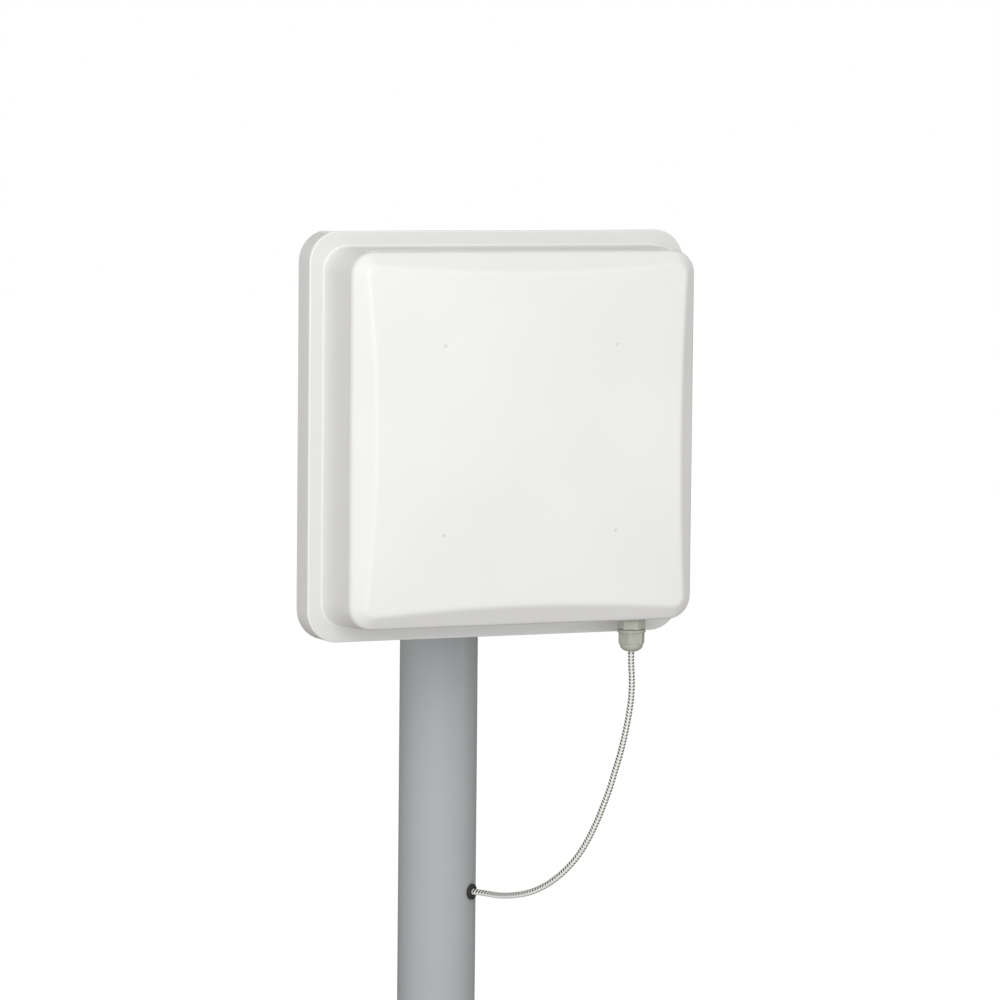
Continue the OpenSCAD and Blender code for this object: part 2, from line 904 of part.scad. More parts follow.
radome_cover();
seal_gasket();
back_plate();
cover_screws();
vent_plug();
ground_plane();
ground_standoffs();
ground_screws();
patch(-1, 1);  // patch_1
patch(1, 1);  // patch_2
patch(-1, -1);  // patch_3
patch(1, -1);  // patch_4
patch_posts();
feed_board();
feed_pins();
rf_link();
reader_board();
board_parts();
shield_can();
board_standoffs();
board_screws();
board_terminal();
inner_lead();
gland_washer();
gland_body();
gland_seal();
gland_nut();
gland_locknut();
clinch_nuts();
head_bracket();
head_bolts();
lock_bolt();
lock_nut();
tilt_washers();
post_bracket();
clamp_jaw();
clamp_bolts();
clamp_nuts();
pivot_bolt();
pivot_nut();
post_tube();
post_cap();
post_grommet();
service_cover();
service_screws();
terminal_bracket();
terminal_block();
terminal_screws();
reader_cable();
thrust_ring();
base_plate();
base_collar();
base_gussets();
set_screws();
earth_stud();
earth_nut();
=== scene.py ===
import json
import math

import bmesh
import bpy
from mathutils import Matrix, Vector

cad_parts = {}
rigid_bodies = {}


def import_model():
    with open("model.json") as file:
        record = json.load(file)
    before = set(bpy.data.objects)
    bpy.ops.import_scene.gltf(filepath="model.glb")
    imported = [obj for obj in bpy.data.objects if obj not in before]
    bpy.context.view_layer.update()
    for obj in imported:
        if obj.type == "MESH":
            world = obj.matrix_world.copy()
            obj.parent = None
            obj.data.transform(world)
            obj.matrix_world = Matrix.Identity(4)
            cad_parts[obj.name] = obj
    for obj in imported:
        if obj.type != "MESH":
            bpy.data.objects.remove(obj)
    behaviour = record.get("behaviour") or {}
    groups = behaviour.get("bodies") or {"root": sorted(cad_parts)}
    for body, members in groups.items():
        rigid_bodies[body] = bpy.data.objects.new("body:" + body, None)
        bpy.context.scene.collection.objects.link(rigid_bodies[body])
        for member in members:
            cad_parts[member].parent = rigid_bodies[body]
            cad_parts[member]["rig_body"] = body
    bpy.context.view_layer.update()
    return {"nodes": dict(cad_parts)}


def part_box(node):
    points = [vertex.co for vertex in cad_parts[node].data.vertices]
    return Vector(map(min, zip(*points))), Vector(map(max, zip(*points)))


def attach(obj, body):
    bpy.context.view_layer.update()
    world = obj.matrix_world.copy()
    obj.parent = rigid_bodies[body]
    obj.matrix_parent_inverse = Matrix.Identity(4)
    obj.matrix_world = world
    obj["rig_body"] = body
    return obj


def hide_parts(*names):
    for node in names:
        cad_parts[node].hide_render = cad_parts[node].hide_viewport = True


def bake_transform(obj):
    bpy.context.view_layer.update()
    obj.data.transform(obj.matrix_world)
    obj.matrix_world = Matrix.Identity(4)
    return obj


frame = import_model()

scene = bpy.context.scene
print("frame loaded:", len(frame["nodes"]), "nodes")

coverLow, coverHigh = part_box("radome_cover")
headCentre = Vector((0, 0, (coverLow.z + coverHigh.z) / 2))
rimDepth = 0.0325
backY = coverHigh.y
rimY = backY - rimDepth
apexY = coverLow.y


# camera

cameraValues = {"yaw": 23.99, "pitch": 4.86, "roll": 0.56, "lens": 176.04, "sensor": 36.0,
                "distance": 5.4016, "right": -0.0029, "up": 0.073}


def makeCamera(values):
    yaw, pitch, roll = (math.radians(values[k]) for k in ("yaw", "pitch", "roll"))
    ahead = Vector((math.sin(yaw) * math.cos(pitch), math.cos(yaw) * math.cos(pitch), -math.sin(pitch)))
    right = Vector((math.cos(yaw), -math.sin(yaw), 0))
    up = right.cross(ahead)
    aim = Vector((headCentre.x, rimY, headCentre.z))
    place = aim - ahead * values["distance"] - right * values["right"] - up * values["up"]
    camera = bpy.data.objects.new("camera", bpy.data.cameras.new("camera"))
    scene.collection.objects.link(camera)
    camera.data.lens = values["lens"]
    camera.data.sensor_width = values["sensor"]
    camera.data.clip_start, camera.data.clip_end = 0.1, 100
    turnedRight = right * math.cos(roll) + up * math.sin(roll)
    turnedUp = up * math.cos(roll) - right * math.sin(roll)
    axes = Matrix((turnedRight, turnedUp, -ahead)).transposed()
    camera.matrix_world = Matrix.Translation(place) @ axes.to_4x4()
    scene.camera = camera


makeCamera(cameraValues)
print("camera placed")


# materials

class Wire:                                   # a socket that takes part in sums
    def __init__(self, look, socket):
        self.look = look
        self.socket = socket

    def maths(self, operation, *others):
        inputs = dict(enumerate((self, *others)))
        return self.look.add("ShaderNodeMath", {"operation": operation}, inputs)

    def __add__(self, other):
        return self.maths("ADD", other)

    def __sub__(self, other):
        return self.maths("SUBTRACT", other)

    def __rsub__(self, other):
        return (self * -1).maths("ADD", other)

    def __mul__(self, other):
        return self.maths("MULTIPLY", other)

    def __truediv__(self, other):
        return self.maths("DIVIDE", other)

    def __pow__(self, other):
        return self.maths("POWER", other)

    __radd__ = __add__
    __rmul__ = __mul__

    def limited(self):
        return self.maths("MAXIMUM", 0.0).maths("MINIMUM", 1.0)


class Look:                                   # one material, or the world, and its nodes
    def __init__(self, name, owner=None, shader="Principled BSDF"):
        self.material = owner or bpy.data.materials.new(name)
        self.material.use_nodes = True
        self.tree = self.material.node_tree
        self.shader = self.tree.nodes[shader]

    def add(self, kind, settings=None, inputs=None, output=0):
        node = self.tree.nodes.new(kind)
        for key, value in (settings or {}).items():
            if key == "stops":
                self.setStops(node.color_ramp, value)
            else:
                setattr(node, key, value)
        for key, value in (inputs or {}).items():
            self.feed(node.inputs[key], value)
        return Wire(self, node.outputs[output])

    def setStops(self, ramp, stops):
        while len(ramp.elements) < len(stops):
            ramp.elements.new(1.0)
        for element, (place, shade) in zip(ramp.elements, stops):
            element.position = place
            element.color = (*shade, 1.0) if hasattr(shade, "__len__") else (shade, shade, shade, 1.0)

    def feed(self, socket, value):
        if isinstance(value, Wire):
            self.tree.links.new(value.socket, socket)
        elif socket.type == "RGBA" and len(value) == 3:
            socket.default_value = (*value, 1.0)
        else:
            socket.default_value = value

    def shade(self, **sockets):
        for key, value in sockets.items():
            self.feed(self.shader.inputs[key.replace("_", " ")], value)
        return self.material

    def place(self):
        return self.add("ShaderNodeTexCoord", output="Object")

    def stretched(self, scale):
        return self.add("ShaderNodeMapping", {}, {"Vector": self.place(), "Scale": scale})

    def noise(self, scale, detail=3.0, vector=None, rough=0.5):
        inputs = {"Vector": vector or self.place(), "Scale": scale, "Detail": detail, "Roughness": rough}
        return self.add("ShaderNodeTexNoise", {}, inputs, "Fac")

    def ramp(self, value, *stops):
        return self.add("ShaderNodeValToRGB", {"stops": stops}, {"Fac": value})

    def mix(self, amount, first, second):
        inputs = {0: amount, 6: first, 7: second}
        return self.add("ShaderNodeMix", {"data_type": "RGBA"}, inputs, 2)

    def bump(self, height, depth, strength=1.0):
        inputs = {"Height": height, "Distance": depth, "Strength": strength}
        return self.add("ShaderNodeBump", {}, inputs)

    def axis(self, name):
        return self.add("ShaderNodeSeparateXYZ", {}, {"Vector": self.place()}, name)


def darker(colour, share):
    return tuple(c * share for c in colour)


def squareDistance(look, half, radius):       # distance outside a rounded square around the head's centre
    x = look.axis("X").maths("ABSOLUTE") - (half - radius)
    z = (look.axis("Z") - headCentre.z).maths("ABSOLUTE") - (half - radius)
    outside = (x.maths("MAXIMUM", 0.0) ** 2.0 + z.maths("MAXIMUM", 0.0) ** 2.0) ** 0.5
    return outside + x.maths("MAXIMUM", z).maths("MINIMUM", 0.0) - radius


def mouldedPlastic():
    look = Look("mouldedPlastic")
    # rim is the cover's white made darker: painted shade for the flat rim face beside the raised wall
    values = {"colour": (0.875, 0.875, 0.87), "cloud": (0.845, 0.845, 0.838), "rim": (0.768, 0.768, 0.763),
              "rough": 0.34, "base": 0.209, "baseRadius": 0.028, "edge": 0.2236, "edgeRadius": 0.0336,
              # the sink mark colour is painted shade
              "mark": 0.1025, "markReach": 0.0027, "markPaintedShade": (0.6, 0.6, 0.595)}
    cloud = look.noise(5.0, 2.0)
    grain = look.noise(950.0, 2.0)
    ripple = look.noise(38.0, 1.0)
    x, z = look.axis("X"), look.axis("Z") - headCentre.z
    flow = ((x - 0.004) * 420.0) ** 2.0
    flow = (flow * -1.0).maths("EXPONENT") * ((z - 0.02) * 9.0).limited()   # where two melt fronts met
    colour = look.mix(look.ramp(cloud, (0.35, 0.0), (0.65, 1.0)), values["cloud"], values["colour"])
    colour = look.mix(flow * 0.35, colour, values["cloud"])
    # painted shade: a darker disc is painted at each sink mark, over the real dip in the mesh
    across = (x.maths("ABSOLUTE") - values["mark"]) ** 2.0 + (z.maths("ABSOLUTE") - values["mark"]) ** 2.0
    markShadeMask = (1.0 - across ** 0.5 * (1 / values["markReach"])).limited()
    colour = look.mix(markShadeMask * 0.8, colour, values["markPaintedShade"])
    # painted shade: the flat rim face, from the rim's edge to the foot of the raised part, takes the darker
    # rim colour; the same mask also gives it grain and roughness
    ledgePaintedShadeAndGrain = (squareDistance(look, values["base"], values["baseRadius"]) * 900.0).limited()
    ledgePaintedShadeAndGrain = ledgePaintedShadeAndGrain * (squareDistance(look, values["edge"], values["edgeRadius"]) * -1400.0).limited()
    ledgePaintedShadeAndGrain = ledgePaintedShadeAndGrain * ((look.axis("Y") * -1.0 + (rimY + 0.0024)) * 1200.0).limited()
    colour = look.mix(ledgePaintedShadeAndGrain * (0.85 + cloud * 0.2), colour, values["rim"])  # painted shade on the flat rim face beside the raised wall; its coarser grain and rougher finish are spark-eroded
    height = grain * (ledgePaintedShadeAndGrain * 0.00012 + 0.00009) + ripple * 0.0001 - flow * 0.00002
    rough = look.noise(60.0, 2.0) * 0.1 + ledgePaintedShadeAndGrain * 0.15 + values["rough"]
    return look.shade(Base_Color=colour, Roughness=rough, Normal=look.bump(height, 1.0, 0.6))


def nylon(name, colour, rough=0.42):
    look = Look(name)
    speckle = look.noise(1500.0, 2.0)
    cloud = look.noise(90.0, 3.0)
    tone = look.mix(look.ramp(cloud, (0.3, 0.0), (0.7, 1.0)), darker(colour, 0.9), colour)
    height = speckle * 0.00006 + cloud * 0.00008
    return look.shade(Base_Color=tone, Roughness=cloud * 0.16 + rough - 0.08,
                      Normal=look.bump(height, 1.0, 0.7))


def braid():
    look = Look("braid")
    rise = look.add("ShaderNodeAttribute", {"attribute_name": "rise"}, {}, "Fac")
    thread = look.noise(2600.0, 2.0)
    # painted shade: where the braid dips between strands the colour runs to near black, and the raised
    # strands stay white
    stops = (0.3, (0.015, 0.015, 0.014)), (0.52, (0.09, 0.09, 0.085)), (0.7, (0.87, 0.87, 0.84))
    lit = look.ramp(rise, *stops)
    tone = look.mix(thread * 0.15, lit, (0.6, 0.6, 0.57))
    return look.shade(Base_Color=tone, Roughness=thread * 0.2 + 0.5,
                      Normal=look.bump(thread * 0.00008, 1.0, 0.6))


def paint(name, colour, rough=0.4, peel=0.00005):
    look = Look(name)
    cloud = look.noise(9.0, 4.0)
    orange = look.noise(420.0, 2.0)
    speck = look.ramp(look.noise(300.0, 2.0), (0.7, 0.0), (0.76, 1.0))
    tone = look.mix(look.ramp(cloud, (0.3, 0.0), (0.7, 1.0)), darker(colour, 0.95), colour)
    tone = look.mix(speck * 0.12, tone, darker(colour, 0.6))
    return look.shade(Base_Color=tone, Roughness=cloud * 0.12 + rough - 0.06,
                      Normal=look.bump(orange * peel, 1.0, 0.8))


def brushed(name, colour, rough=0.3, along=(4.0, 900.0, 900.0)):
    look = Look(name)
    lines = look.noise(1.0, 3.0, look.stretched(along))
    cloud = look.noise(22.0, 3.0)
    tone = look.mix(cloud * 0.6, colour, darker(colour, 0.82))
    return look.shade(Base_Color=tone, Metallic=1.0, Roughness=lines * 0.2 + cloud * 0.08 + rough - 0.12,
                      Normal=look.bump(lines * 0.00002, 1.0, 0.5))


def turnedMetal(name, colour, rough=0.28):
    look = Look(name)
    pits = look.noise(500.0, 3.0)
    stain = look.noise(120.0, 4.0)
    tone = look.mix(look.ramp(stain, (0.45, 0.0), (0.75, 1.0)), colour, darker(colour, 0.72))
    return look.shade(Base_Color=tone, Metallic=1.0, Roughness=stain * 0.24 + rough - 0.08,
                      Normal=look.bump(pits * 0.00003, 1.0, 0.6))


def rubber():
    look = Look("rubber")
    dust = look.noise(260.0, 4.0)
    tone = look.mix(dust * 0.5, (0.018, 0.018, 0.018), (0.06, 0.06, 0.058))
    return look.shade(Base_Color=tone, Roughness=dust * 0.2 + 0.6, Normal=look.bump(dust * 0.0001, 1.0, 0.6))


def circuitBoard():
    look = Look("circuitBoard")
    tracks = look.add("ShaderNodeTexBrick", {"offset": 0.35, "squash": 2.0, "squash_frequency": 3},
                      {"Vector": look.stretched((1.0, 0.0, 1.0)), "Scale": 60.0, "Mortar Size": 0.06}, "Fac")
    pads = look.add("ShaderNodeTexVoronoi", {}, {"Vector": look.place(), "Scale": 140.0}, "Distance")
    pads = look.ramp(pads, (0.16, 1.0), (0.19, 0.0))
    tone = look.mix(tracks * 0.7, (0.01, 0.12, 0.05), (0.02, 0.22, 0.09))
    tone = look.mix(pads * 0.8, tone, (0.6, 0.5, 0.26))
    return look.shade(Base_Color=tone, Roughness=pads * -0.1 + 0.35, Metallic=pads * 0.8,
                      Normal=look.bump(tracks * 0.00004, 1.0, 0.6))


looks = {
    "cover": mouldedPlastic(),
    "gland": nylon("glandNylon", (0.49, 0.50, 0.44), 0.3),
    # painted light: the hex body gets a lighter copy of the gland's nylon, brightening it where it sits in
    # the cover's shade
    "glandBody": nylon("glandBodyNylonPaintedLight", (0.56, 0.57, 0.51), 0.36),
    "braid": braid(),
    "post": paint("postPaint", (0.435, 0.46, 0.468), 0.34),
    "bracket": paint("bracketPaint", (0.30, 0.31, 0.315), 0.45, 0.00009),
    "base": paint("basePaint", (0.27, 0.28, 0.29), 0.45, 0.00009),
    "sheet": brushed("sheetAluminium", (0.72, 0.73, 0.74), 0.38),
    "tin": brushed("tinnedSheet", (0.66, 0.67, 0.67), 0.35, (900.0, 900.0, 8.0)),
    "steel": turnedMetal("stainless", (0.62, 0.615, 0.60)),
    "brass": turnedMetal("brass", (0.68, 0.50, 0.22)),
    "rubber": rubber(),
    "board": circuitBoard(),
    "chip": nylon("chipPlastic", (0.02, 0.02, 0.022), 0.4),
    "bush": nylon("bushPlastic", (0.78, 0.77, 0.73), 0.45),
    "terminal": nylon("terminalPlastic", (0.42, 0.46, 0.43), 0.45),
    "cap": nylon("capPlastic", (0.13, 0.135, 0.135), 0.5),
}
print("materials made:", len(looks))


# mesh helpers

def finished(bm, name, body, look, slot, *replaced, angle=35.0, place=None):
    if place is not None:
        bmesh.ops.transform(bm, matrix=place, verts=bm.verts)
    mesh = bpy.data.meshes.new(name)
    bm.to_mesh(mesh)
    bm.free()
    mesh.materials.append(looks[look])
    mesh.shade_smooth()
    mesh.set_sharp_from_angle(angle=math.radians(angle))
    piece = bpy.data.objects.new(name, mesh)
    scene.collection.objects.link(piece)
    if body:
        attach(piece, body)
    if replaced:
        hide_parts(*replaced)
    return piece


def along(point, direction):                  # turns local +Z to a direction and moves to a point
    turn = Vector((0, 0, 1)).rotation_difference(Vector(direction)).to_matrix().to_4x4()
    return Matrix.Translation(point) @ turn


def turned(bm, profile, steps=48, rounding=0.0, closed=False, segments=3):
    before = set(bm.verts)
    verts = [bm.verts.new((r, 0, z)) for r, z in profile]
    pairs = list(zip(verts, verts[1:] + verts[:1])) if closed else list(zip(verts, verts[1:]))
    edges = [bm.edges.new(pair) for pair in pairs]
    if rounding:
        corners = [v for v in verts if v.co.x > 1e-6 and len(v.link_edges) == 2]
        bmesh.ops.bevel(bm, geom=corners, offset=rounding, segments=segments, profile=0.5,
                        affect="VERTICES", clamp_overlap=True, material=-1)
    strip = [v for v in bm.verts if v not in before]
    edges = list({e for v in strip for e in v.link_edges})
    bmesh.ops.spin(bm, geom=strip + edges, cent=(0, 0, 0), axis=(0, 0, 1), angle=math.tau,
                   steps=steps, use_merge=True)
    made = [v for v in bm.verts if v not in before]
    bmesh.ops.remove_doubles(bm, verts=made, dist=1e-6)
    bmesh.ops.recalc_face_normals(bm, faces=bm.faces)


def hexBlock(bm, flats, levels, rounding, turn=0.0):    # levels are (height, share of the full width)
    before = set(bm.verts)
    step = math.pi / 6
    ring = bmesh.ops.create_circle(bm, cap_ends=True, segments=6, radius=flats / 2 / math.cos(step))["verts"]
    bmesh.ops.rotate(bm, cent=(0, 0, 0), matrix=Matrix.Rotation(turn + step, 3, "Z"), verts=ring)
    width = 1.0
    face = ring[0].link_faces[0]
    for place, (height, share) in enumerate(levels):
        if place:
            grown = bmesh.ops.extrude_face_region(bm, geom=[face])["geom"]
            ring = [g for g in grown if isinstance(g, bmesh.types.BMVert)]
            face = next(g for g in grown if isinstance(g, bmesh.types.BMFace) and set(g.verts) == set(ring))
        bmesh.ops.scale(bm, vec=(share / width, share / width, 1), verts=ring)
        bmesh.ops.translate(bm, vec=(0, 0, height - ring[0].co.z), verts=ring)
        width = share
    fresh = [v for v in bm.verts if v not in before]
    edges = list({e for v in fresh for e in v.link_edges})
    bmesh.ops.bevel(bm, geom=edges, offset=rounding, segments=3, profile=0.5, affect="EDGES",
                    clamp_overlap=True, material=-1)
    bmesh.ops.recalc_face_normals(bm, faces=bm.faces)


def firstRing(bm, half, radius, y, cornerSteps=8, sideCuts=28):
    made = bmesh.ops.create_grid(bm, x_segments=1, y_segments=1, size=half)
    bmesh.ops.bevel(bm, geom=made["verts"], offset=radius, segments=cornerSteps, profile=0.5,
                    affect="VERTICES", material=-1)
    sides = sorted(bm.edges, key=lambda e: e.calc_length())[-4:]
    bmesh.ops.subdivide_edges(bm, edges=sides, cuts=sideCuts)
    turn = Matrix.Translation((0, y, headCentre.z)) @ Matrix.Rotation(math.pi / 2, 4, "X")
    bmesh.ops.transform(bm, matrix=turn, verts=bm.verts)
    return bm.edges[:]


def nextRing(bm, edges, before, after):       # grows the next rounded square from the last one
    made = bmesh.ops.extrude_edge_only(bm, edges=edges)["geom"]
    ring = {g for g in made if isinstance(g, bmesh.types.BMVert)}
    (half, radius, y), (newHalf, newRadius, newY) = before, after
    flat, newFlat = half - radius, newHalf - newRadius
    for v in ring:
        x, z = v.co.x, v.co.z - headCentre.z
        nearX, nearZ = (max(-flat, min(flat, c)) for c in (x, z))
        v.co = (nearX * newFlat / flat + (x - nearX) * newRadius / radius, newY,
                nearZ * newFlat / flat + (z - nearZ) * newRadius / radius + headCentre.z)
    return ring, [g for g in made if isinstance(g, bmesh.types.BMEdge) and ring.issuperset(g.verts)]


def softPath(corners, steps=6):               # points (half, radius, y, rounding) with rounded corners
    path = [Vector(corners[0][:3])]
    for before, here, after in zip(corners, corners[1:], corners[2:]):
        centre, reach = Vector(here[:3]), here[3]
        start = centre + (Vector(before[:3]) - centre).normalized() * reach
        end = centre + (Vector(after[:3]) - centre).normalized() * reach
        for step in range(steps + 1):
            t = step / steps
            path.append(start * (1 - t) ** 2 + centre * 2 * t * (1 - t) + end * t ** 2)
    return path


# cable

cableValues = {"diameter": 0.007, "length": 0.57, "ringStep": 0.00036, "sides": 44, "pitch": 0.0037,
               "slant": 0.5, "turn": math.radians(152), "relief": 0.0005}
# the route runs from the gland's axis towards the post's axis, and down
cableRoute = [(0, .868), (0, .845), (-.001, .828), (-.001, .810), (.001, .792), (.004, .775),
              (.008, .757), (.013, .738), (.019, .719), (.025, .700), (.032, .682), (.040, .663),
              (.050, .643), (.061, .625), (.074, .609), (.089, .595), (.106, .583), (.125, .574),
              (.145, .569), (.165, .567), (.185, .568), (.210, .568), (.226, .565), (.240, .557),
              (.250, .544), (.256, .528), (.259, .510), (.261, .490), (.262, .470), (.262, .447)]


def smoothLine(points, step):                 # a Catmull-Rom curve with evenly spaced points
    ends = [points[0] * 2 - points[1]] + points + [points[-1] * 2 - points[-2]]
    fine = []
    for a, b, c, d in zip(ends, ends[1:], ends[2:], ends[3:]):
        for i in range(24):
            t = i / 24
            fine.append(0.5 * (2 * b + (c - a) * t + (2 * a - 5 * b + 4 * c - d) * t ** 2
                               + (3 * b - a - 3 * c + d) * t ** 3))
    fine.append(points[-1])
    reach = [0.0]
    for a, b in zip(fine, fine[1:]):
        reach.append(reach[-1] + (b - a).length)
    count = round(reach[-1] / step)
    line, k = [], 0
    for i in range(count + 1):
        want = reach[-1] * i / count
        while k < len(fine) - 2 and reach[k + 1] < want:
            k += 1
        share = (want - reach[k]) / (reach[k + 1] - reach[k])
        line.append(fine[k].lerp(fine[k + 1], min(1.0, share)))
    return line, reach[-1]


def braidRise(angle, down, values):           # slanting gaps that meet in chevrons, as in a round plait; they fade out along the two lines set by turn, and the braid material paints them as shade
    quarter = (angle - values["turn"]) % math.pi
    quarter = min(quarter, math.pi - quarter)
    shift = values["slant"] * quarter * values["diameter"] / 2
    gap = 0.5 + 0.5 * math.cos(math.tau * (down + shift) / values["pitch"])
    return 1 - gap * min(1.0, 1.6 * math.sin(quarter))


def makeCable(values):
    glandLow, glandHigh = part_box("gland_nut")
    top = (glandLow + glandHigh) / 2
    toPost = Vector((-top.x, -top.y, 0)).normalized()
    points = [Vector((top.x, top.y, z)) + toPost * s for s, z in cableRoute]
    line, long = smoothLine(points, values["ringStep"])
    side = Vector((toPost.y, -toPost.x, 0))
    bm = bmesh.new()
    rise = bm.verts.layers.float.new("rise")
    last = len(line) - 1
    bmesh.ops.create_grid(bm, x_segments=values["sides"], y_segments=last, size=0.5)
    for v in bm.verts:
        ring = round((v.co.y + 0.5) * last)
        angle = (v.co.x + 0.5) * math.tau
        ahead = (line[min(ring + 1, last)] - line[max(ring - 1, 0)]).normalized()
        out = side * math.cos(angle) + ahead.cross(side) * math.sin(angle)
        v[rise] = braidRise(angle, long * ring / last, values)
        v.co = line[ring] + out * (values["diameter"] / 2 + values["relief"] * (v[rise] - 0.75))
    bmesh.ops.remove_doubles(bm, verts=bm.verts, dist=1e-6)
    ends = [e for e in bm.edges if e.is_boundary]
    bmesh.ops.holes_fill(bm, edges=ends, sides=0)
    bmesh.ops.recalc_face_normals(bm, faces=bm.faces)
    cable = finished(bm, "braidedCable", None, "braid", "cable_braid", "reader_cable", angle=80.0)
    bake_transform(cable)
    print("cable made, %.3f m" % long)


makeCable(cableValues)


# cover

coverValues = {"wall": 0.003, "rimRadius": 0.035, "baseRadius": 0.028, "frontRadius": 0.026,
               "baseHalf": 0.208, "frontHalf": 0.2045, "depth": 0.071, "slope": math.radians(38),
               "domeRadius": 2.75, "blend": 0.0015, "rimRound": 0.0026, "footRound": 0.002,
               "frontRound": 0.0045, "slopeStep": 0.006, "ringStep": 0.0025, "innerRingStep": 0.011,
               "denseBorder": 0.055, "domeRings": 14, "leastRadius": 0.0022, "markPitch": 0.205,
               "markRadius": 0.003, "markDepth": 0.0008, "markZones": [(0.017, 3), (0.008, 2)]}


def frontRise(x, z, values):                  # the sloping border meets the shallow dome
    frontY = rimY - values["depth"]
    q = Vector((abs(x), abs(z))) - Vector((1, 1)) * (values["frontHalf"] - values["frontRadius"])
    outside = Vector((max(q.x, 0), max(q.y, 0))).length + min(max(q.x, q.y), 0)
    slope = (values["frontRadius"] - outside) * math.tan(values["slope"])
    dome = frontY - apexY - (x * x + z * z) / (2 * values["domeRadius"])
    k = values["blend"]
    mixed = max(0.0, min(1.0, 0.5 + 0.5 * (dome - slope) / k))
    return slope * mixed + dome * (1 - mixed) - k * mixed * (1 - mixed)


def sinkMarks(bm, values):                    # small hollows where the inner pegs stand
    at = values["markPitch"] / 2
    outerY = rimY - values["depth"] - 0.01    # only the outer skin of the front lies past this
    centres = [Vector((sx * at, headCentre.z + sz * at)) for sx in (-1, 1) for sz in (-1, 1)]

    def near(point, reach):
        return any((Vector((point.x, point.z)) - c).length < reach for c in centres)

    for reach, cuts in values["markZones"]:   # finer faces round each mark, in two zones
        faces = [f for f in bm.faces if f.calc_center_median().y < outerY
                 and near(f.calc_center_median(), reach)]
        bmesh.ops.subdivide_edges(bm, edges=list({e for f in faces for e in f.edges}), cuts=cuts,
                                  use_grid_fill=True, smooth=0)
    for v in bm.verts:
        for c in centres:
            far = (Vector((v.co.x, v.co.z)) - c).length / values["markRadius"]
            if far < 1 and v.co.y < outerY:
                v.co.y += values["markDepth"] * math.cos(far * math.pi / 2) ** 2


def shellLoops(values, inset, corners, ringStep, steps):    # True marks the rings on the crowned front
    loops = [(point, False) for point in softPath(corners, steps)]
    half, reach, rings = corners[-1][0], values["denseBorder"], values["domeRings"]
    sizes = [half - ringStep * k for k in range(int(reach / ringStep))]
    sizes += [(half - reach) * k / rings for k in range(rings, 0, -1)]
    for size in sizes:
        radius = values["frontRadius"] - inset - (values["frontHalf"] - inset - size) * 0.8
        loops.append(((size, min(max(radius, values["leastRadius"]), size * 0.4), 0), True))
    return loops


def makeCover(values):
    frontY = rimY - values["depth"]
    wall = values["wall"]

    def corners(inset):                       # the rim, the foot of the raised part, and its front edge
        soft = 0.25 if inset else 1.0
        rim, rimR = coverHigh.x - inset, values["rimRadius"] - inset
        base, baseR = values["baseHalf"] - inset, values["baseRadius"] - inset
        front, frontR = values["frontHalf"] - inset, values["frontRadius"] - inset
        step = values["slopeStep"]
        drop = step * math.tan(values["slope"])
        return [(rim, rimR, backY, 0),
                (rim, rimR, rimY + inset, values["rimRound"] * soft),
                (base, baseR, rimY + inset, values["footRound"] * soft),
                (front, frontR, frontY + inset, values["frontRound"] * soft),
                (front - step, frontR - step * 0.8, frontY + inset - drop, 0)]

    bm = bmesh.new()
    inside = shellLoops(values, wall, corners(wall), values["innerRingStep"], 2)[::-1]
    outside = shellLoops(values, 0.0, corners(0.0), values["ringStep"], 7)
    loops = inside + outside
    edges = firstRing(bm, *loops[0][0])
    ring = {v for e in edges for v in e.verts}
    for place, (loop, onFront) in enumerate(loops):
        if place:
            ring, edges = nextRing(bm, edges, loops[place - 1][0], loop)
        lower = wall if place < len(inside) else 0.0
        if onFront:
            for v in ring:
                v.co.y = frontY + lower - frontRise(v.co.x, v.co.z - headCentre.z, values)
    bmesh.ops.contextual_create(bm, geom=edges)
    sinkMarks(bm, values)
    bmesh.ops.recalc_face_normals(bm, faces=bm.faces)
    finished(bm, "mouldedCover", "head", "cover", "cover_white", "radome_cover", angle=50.0)
    print("cover made")


makeCover(coverValues)


# cable gland

glandValues = {"flats": 0.027, "hexHeight": 0.010, "hexRound": 0.0005, "hexTurn": math.radians(31),
               "sleeveIn": 0.0066, "sleeveOut": 0.0089, "sleeveReach": 0.011, "nutRound": 0.0007,
               "nutTurn": math.radians(55), "nutIn": 0.0091, "collar": 0.0035, "collarOut": 0.00235,
               "collarRound": 0.0009, "dome": 0.0085, "domeStep": 0.0006, "hole": 0.0043}


